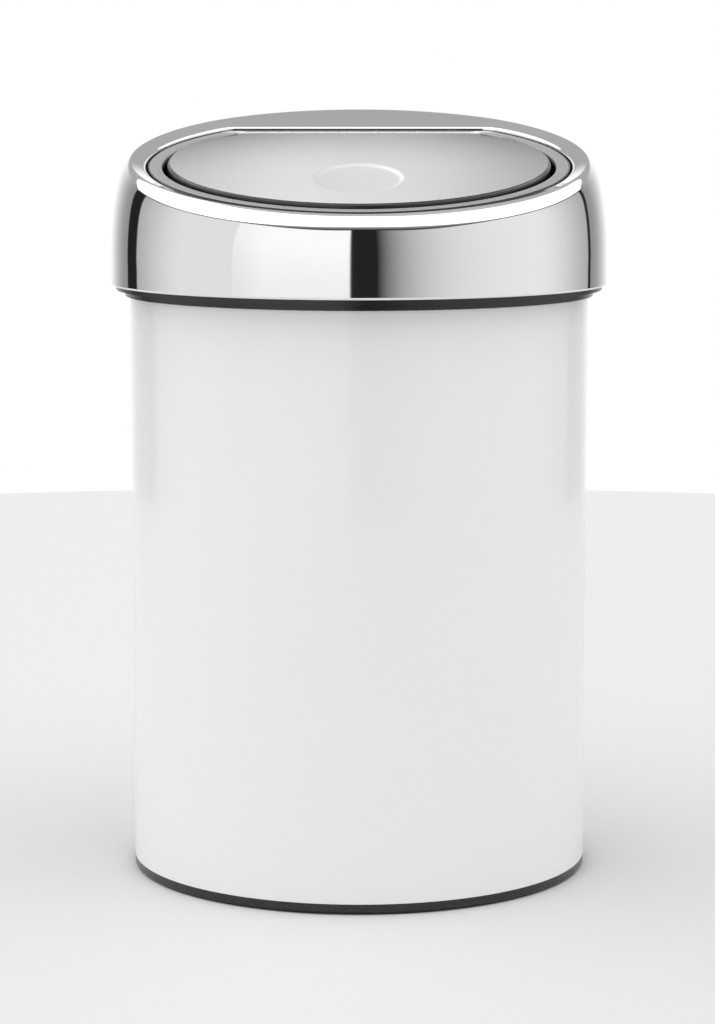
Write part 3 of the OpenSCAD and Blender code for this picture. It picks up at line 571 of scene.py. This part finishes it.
# Grains are widths, a bump is a strength and a depth, and the other pairs are a low and a high
# value, apart from the satin steel's and the strip's places, which are a middle and a width
paints = {
    "whitePaint": {"level": (0.844, 0.85), "cloud": 40, "ripple": 9, "bump": (0.05, 0.1),
                   "roughness": (0.28, 0.32), "coat": 0.6, "coatRoughness": 0.06},
    "blackPlastic": {"level": 0.014, "roughness": 0.24, "grain": 0.5},
    "polishedSteel": {"level": 0.86, "roughness": (0.03, 0.05), "cloud": 25, "hairs": 0.25,
                      "hairStretch": 6, "bump": (0.02, 0.01)},
    # the satin steel's front, back and sides are levels of painted shade across the flap
    "satinSteel": {"front": 0.9, "back": 0.12, "sides": 0.35, "shadeToBack": (20, 120),
                   "shadeToSide": (50, 70), "grain": 0.3, "tone": (0.94, 1.02), "cloud": 0.8,
                   "roughness": (0.47, 0.53), "bump": (0.12, 0.02)},
    # the silver plastic's strip is the level of a painted highlight behind the flap
    "silverPlastic": {"level": 0.35, "tone": (0.65, 1.35), "grain": 0.6, "grainRoughness": 0.7,
                      "strip": 0.85, "highlightStripAt": (53.5, 1.6), "metal": 0.35,
                      "roughness": (0.44, 0.56), "bump": (0.2, 0.03)},
    "wireSteel": {"level": 0.5, "roughness": 0.28, "grain": 0.5},
    "sheetSteel": {"level": 0.55, "roughness": 0.38, "grain": 6},
    "bucketPlastic": {"level": 0.05, "roughness": 0.42, "grain": 0.8},
    "rubber": {"level": 0.025, "roughness": 0.75, "grain": 0.4},
    "acetal": {"level": 0.72, "roughness": 0.36, "grain": 0.6},
}
moulding = {"tone": (0.85, 1.15), "cloud": 6, "roughnessSpread": 0.04, "bump": (0.25, 0.05)}
bareMetal = {"tone": (0.85, 1.1), "smoother": 0.06, "rougher": 0.08, "pits": 0.4,
             "bump": (0.1, 0.02)}


def paintNamed(name):
    return Paint(bpy.data.materials.new(name))


def whitePaint():
    kind = paints["whitePaint"]
    paint = paintNamed("whitePaint")
    ripple = paint.noise(kind["ripple"], detail=1.0)
    return paint.surface(
        base_color=paint.grey(paint.spread(paint.noise(kind["cloud"]), *kind["level"])),
        roughness=paint.spread(ripple, *kind["roughness"]),
        coat_weight=kind["coat"], coat_roughness=kind["coatRoughness"],
        normal=paint.bump(ripple, *kind["bump"]))


def mouldedPlastic(name):
    kind = paints[name]
    paint = paintNamed(name)
    grain = paint.noise(kind["grain"], detail=3.0)
    tone = paint.spread(grain, *(kind["level"] * share for share in moulding["tone"]))
    change = moulding["roughnessSpread"]
    cloud = paint.noise(moulding["cloud"])
    return paint.surface(
        base_color=paint.grey(tone),
        roughness=paint.spread(cloud, kind["roughness"] - change, kind["roughness"] + change),
        normal=paint.bump(grain, *moulding["bump"]))


def polishedSteel():
    kind = paints["polishedSteel"]
    paint = paintNamed("polishedSteel")
    hairs = paint.noise(kind["hairs"], stretch=(1, 1, kind["hairStretch"]))
    return paint.surface(
        base_color=plainGrey(kind["level"]), metallic=1.0,
        roughness=paint.spread(paint.noise(kind["cloud"]), *kind["roughness"]),
        normal=paint.bump(hairs, *kind["bump"]))


def satinSteel():
    # painted shade: darker towards the back and the sides, as the soft light leaves it
    kind = paints["satinSteel"]
    paint = paintNamed("satinSteel")
    grain = paint.noise(kind["grain"], detail=3.0)
    x, y = paint.axes(paint.place())[:2]
    shadeToBack = paint.rise(y, *(length * mm for length in kind["shadeToBack"]))
    shadeToSide = paint.rise(paint.sum("ABSOLUTE", x), *(length * mm for length in kind["shadeToSide"]))
    tone = kind["front"] - (kind["front"] - kind["back"]) * shadeToBack
    tone = tone - kind["sides"] * shadeToSide * (1 - shadeToBack)
    return paint.surface(
        base_color=paint.grey(tone * paint.spread(grain, *kind["tone"])), metallic=1.0,
        roughness=paint.spread(paint.noise(kind["cloud"]), *kind["roughness"]),
        normal=paint.bump(grain, *kind["bump"]))


def silverPlastic():
    # grained, with a painted highlight behind the flap: a bright and smooth strip
    kind = paints["silverPlastic"]
    paint = paintNamed("silverPlastic")
    grain = paint.noise(kind["grain"], detail=4.0, roughness=kind["grainRoughness"])
    y = paint.axes(paint.place())[1]
    strip = paint.rise(y, *(length * mm for length in kind["highlightStripAt"]))
    tone = paint.spread(grain, *(kind["level"] * share for share in kind["tone"]))
    return paint.surface(
        base_color=paint.grey(tone * (1 - strip) + kind["strip"] * strip),
        metallic=kind["metal"],
        roughness=paint.spread(grain, *kind["roughness"]),
        normal=paint.bump(grain, *kind["bump"]))


def bareSteel(name):
    kind = paints[name]
    paint = paintNamed(name)
    cloud = paint.noise(kind["grain"])
    low = kind["roughness"] - bareMetal["smoother"]
    high = kind["roughness"] + bareMetal["rougher"]
    tone = paint.spread(cloud, *(kind["level"] * share for share in bareMetal["tone"]))
    return paint.surface(
        base_color=paint.grey(tone), metallic=1.0,
        roughness=paint.spread(cloud, low, high),
        normal=paint.bump(paint.noise(bareMetal["pits"]), *bareMetal["bump"]))


materials = {
    "whitePaint": whitePaint(),
    "polishedSteel": polishedSteel(),
    "satinSteel": satinSteel(),
    "silverPlastic": silverPlastic(),
}
for name in ("blackPlastic", "bucketPlastic", "rubber", "acetal"):
    materials[name] = mouldedPlastic(name)
for name in ("wireSteel", "sheetSteel"):
    materials[name] = bareSteel(name)

finishOf = {
    "whitePaint": ["body_shell"],
    "blackPlastic": ["base_ring", "collar_ring", "lid_frame", "catch_housing", "flap_tray",
                     "handle_grip", "flapEdge", "gapShade"],
    "polishedSteel": ["lid_cap", "capSheet"],
    "satinSteel": ["flap_cover", "flapSheet"],
    "silverPlastic": ["lid_bezel", "ringBody"],
    "wireSteel": ["frame_screws", "catch_screws", "catch_spring", "hinge_pin", "pin_clips",
                  "hinge_spring_left", "hinge_spring_right", "flap_screws", "bucket_handle"],
    "sheetSteel": ["base_plate"],
    "bucketPlastic": ["inner_bucket"],
    "rubber": ["non_slip_ring"],
    "acetal": ["catch_slider", "flap_striker"],
}
for finish, names in finishOf.items():
    for name in names:
        slotsOfPiece = bpy.data.objects[name].data.materials
        slotsOfPiece.clear()
        slotsOfPiece.append(materials[finish])
print("materials made:", len(materials))


# ---- floor and light ----

floor = {
    "radius": 1100,
    "sides": 128,
    "level": 0.64,
    "roughness": 0.9,
}


def makeFloor():
    bm = bmesh.new()
    bmesh.ops.create_circle(bm, cap_ends=True, segments=floor["sides"],
                            radius=floor["radius"] * mm)
    mesh = bpy.data.meshes.new("floor")
    bm.to_mesh(mesh)
    bm.free()
    disc = bpy.data.objects.new("floor", mesh)
    bpy.context.scene.collection.objects.link(disc)
    paper = paintNamed("floorPaper")
    disc.data.materials.append(paper.surface(base_color=plainGrey(floor["level"]),
                                             roughness=floor["roughness"]))


# Upright panels around the bin, by their direction: 0 is towards the camera, + to its right.
# An "At" is measured from the panel's edge, and a "Soft" is the width of a change.
walls = {
    "gapLevel": 0.018,     # the dark room between the panels
    "edgeSoft": 1.2,
    "leftPanel": {"from": -59, "to": -4, "level": 0.88,
                  "innerRise": 0.1, "innerAt": 9, "innerSoft": 16,
                  "upperRise": 0.12, "upperFrom": 12, "upperSoft": 22},
    "leftWall": {"from": -122, "to": -59, "level": 0.83,
                 "outerShare": 0.5, "outerAt": 14, "outerSoft": 46},
    "rightWall": {"from": 8, "to": 129, "level": 0.91, "fadeLength": 20,
                  "outerLoss": 0.55, "outerAt": 17, "outerSoft": 50},
    "rearWall": {"from": 132, "level": 1.05,
                 "edgeLevel": 0.3, "edgeAt": 18, "edgeSoft": 34},
}

# The softbox overhead, the dark slit below its edge, which brightens upwards, and the grey
# ceiling behind it. A height is an elevation, and the slit's own places are shares of its width.
overhead = {
    "boxLevel": 2.0,
    "frontEdge": 50,       # height that the box's front edge bows down from
    "frontBow": 0.22,
    "frontRound": 28,      # half width of the bow's round middle
    "sideEdge": 19,        # its height beside the rear wall
    "sideSlope": 0.6,
    "sideLead": 2,
    "backEdge": 128, "backSoft": 9, "backSlope": 0.55, "backMiddle": -17,
    "ceilingLow": 0.43, "ceilingRise": 0.16, "ceilingAt": 47, "ceilingSoft": 50,
    "slitWidth": 1.4, "slitWider": 5, "slitMiddle": 5, "slitAt": 45, "slitSoft": 60,
    "slitTop": -0.95, "slitTopSoft": 0.2,
    "slitGlow": 0.45, "glowAt": -0.45, "glowSoft": 1,
    "rearAt": 4, "rearSoft": 6, "rearLift": 20, "rearLiftSoft": 8,
}


def wallLight(paint, side, lift, turned):
    soft = walls["edgeSoft"]

    def within(wall):
        return paint.rise(side, wall["from"], soft) * (1 - paint.rise(side, wall["to"], soft))

    wall = walls["leftPanel"]
    leftPanel = within(wall) * (
        wall["level"]
        + wall["innerRise"] * paint.rise(side, wall["from"] + wall["innerAt"], wall["innerSoft"])
        + wall["upperRise"] * paint.rise(lift, wall["upperFrom"], wall["upperSoft"]))
    wall = walls["leftWall"]
    inwards = paint.rise(side, wall["from"] + wall["outerAt"], wall["outerSoft"])
    leftWall = within(wall) * wall["level"] * (
        wall["outerShare"] + (1 - wall["outerShare"]) * inwards)
    wall = walls["rightWall"]
    fade = 1 - paint.sum("EXPONENT", (wall["from"] - side) / wall["fadeLength"])
    outwards = paint.rise(side, wall["to"] - wall["outerAt"], wall["outerSoft"])
    rightWall = within(wall) * wall["level"] * fade * (1 - wall["outerLoss"] * outwards)
    wall = walls["rearWall"]
    inwards = paint.rise(turned, wall["from"] + wall["edgeAt"], wall["edgeSoft"])
    rearWall = paint.rise(turned, wall["from"], soft) * (
        wall["edgeLevel"] + (wall["level"] - wall["edgeLevel"]) * inwards)
    return walls["gapLevel"] + leftPanel + leftWall + rightWall + rearWall


def studioLight(paint, side, lift, turned):
    top = overhead
    rearFrom = walls["rearWall"]["from"]
    bow = paint.sum("SQRT", side * side + top["frontRound"] ** 2)
    sideEdge = top["sideEdge"] + top["sideSlope"] * (turned - rearFrom + top["sideLead"])
    edge = paint.sum("MAXIMUM", top["frontEdge"] - top["frontBow"] * bow, sideEdge)
    reach = lift + top["backSlope"] * paint.sum("ABSOLUTE", side - top["backMiddle"])
    back = paint.rise(reach, top["backEdge"], top["backSoft"])
    box = paint.rise(lift - edge, 0, 1) * (1 - back)
    ceiling = top["ceilingLow"] + top["ceilingRise"] * paint.rise(
        lift, top["ceilingAt"], top["ceilingSoft"])

    away = paint.sum("ABSOLUTE", side - top["slitMiddle"])
    slit = top["slitWidth"] + top["slitWider"] * (
        1 - paint.rise(away, top["slitAt"], top["slitSoft"]))
    inSlit = (lift - edge) / slit
    rear = paint.rise(turned, rearFrom + top["rearAt"], top["rearSoft"])
    aboveWall = paint.rise(inSlit, top["slitTop"], top["slitTopSoft"]) * (1 - rear)
    slitLevel = walls["gapLevel"] + top["slitGlow"] * paint.rise(
        inSlit, top["glowAt"], top["glowSoft"])
    behind = paint.sum(
        "MAXIMUM", rear * paint.rise(lift, top["rearLift"], top["rearLiftSoft"]), back)

    light = wallLight(paint, side, lift, turned) * (1 - aboveWall) + slitLevel * aboveWall
    light = light * (1 - behind) + ceiling * behind
    return light * (1 - box) + box * top["boxLevel"]


def makeWorld():
    # what the camera sees directly is white
    world = bpy.data.worlds.new("studio")
    bpy.context.scene.world = world
    paint = Paint(world)
    x, y, z = paint.axes(paint.value("ShaderNodeTexCoord", output="Generated"))
    side = paint.sum("DEGREES", paint.sum("ARCTAN2", x, y * -1))
    lift = paint.sum("DEGREES", paint.sum("ARCSINE", z))
    light = studioLight(paint, side, lift, paint.sum("ABSOLUTE", side))
    seen = paint.value("ShaderNodeLightPath", output="Is Camera Ray")
    colour = paint.mixColour(seen, paint.grey(light), plainGrey(1.0))
    glow = paint.add("ShaderNodeBackground", color=colour, strength=1.0)
    output = paint.add("ShaderNodeOutputWorld")
    paint.tree.links.new(glow.outputs[0], output.inputs[0])


# ---- camera ----

camera = {
    "place": (-0.6, -1206.6, 301.0),
    "pitch": 7.86,         # how far it looks down
    "lens": 112.7,
    "sensor": 36,
}


def makeCamera():
    data = bpy.data.cameras.new("camera")
    data.lens = camera["lens"]
    data.sensor_width = camera["sensor"]
    eye = bpy.data.objects.new("camera", data)
    eye.location = Vector(camera["place"]) * mm
    eye.rotation_euler = (math.radians(90 - camera["pitch"]), 0, 0)
    bpy.context.scene.collection.objects.link(eye)
    bpy.context.scene.camera = eye


makeFloor()
makeWorld()
makeCamera()
bpy.context.scene.view_settings.view_transform = "Standard"
print("studio made")
